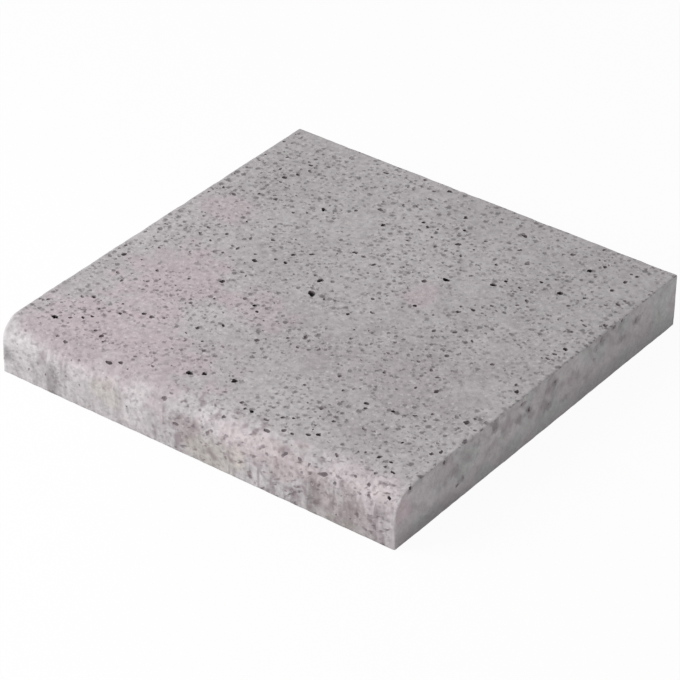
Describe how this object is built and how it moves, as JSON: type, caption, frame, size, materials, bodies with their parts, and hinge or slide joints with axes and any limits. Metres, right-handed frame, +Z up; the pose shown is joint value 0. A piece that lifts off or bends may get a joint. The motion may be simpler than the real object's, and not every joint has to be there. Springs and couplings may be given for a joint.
{
  "type": "pool coping stone",
  "caption": "Square cast-concrete coping stone with a rounded nose along one edge, laid around a pool to finish the rim.",
  "frame": {"origin": "middle of the bed, the flat underside that lies in the mortar", "axes": "+X along the nose, +Y from the nose towards the back edge, +Z up through the tread"},
  "size_m": [0.4, 0.4, 0.05],
  "materials": {
    "concrete": "matte"
  },
  "bodies": {
    "root": {"coping_stone": "concrete"}
  },
  "joints": []
}
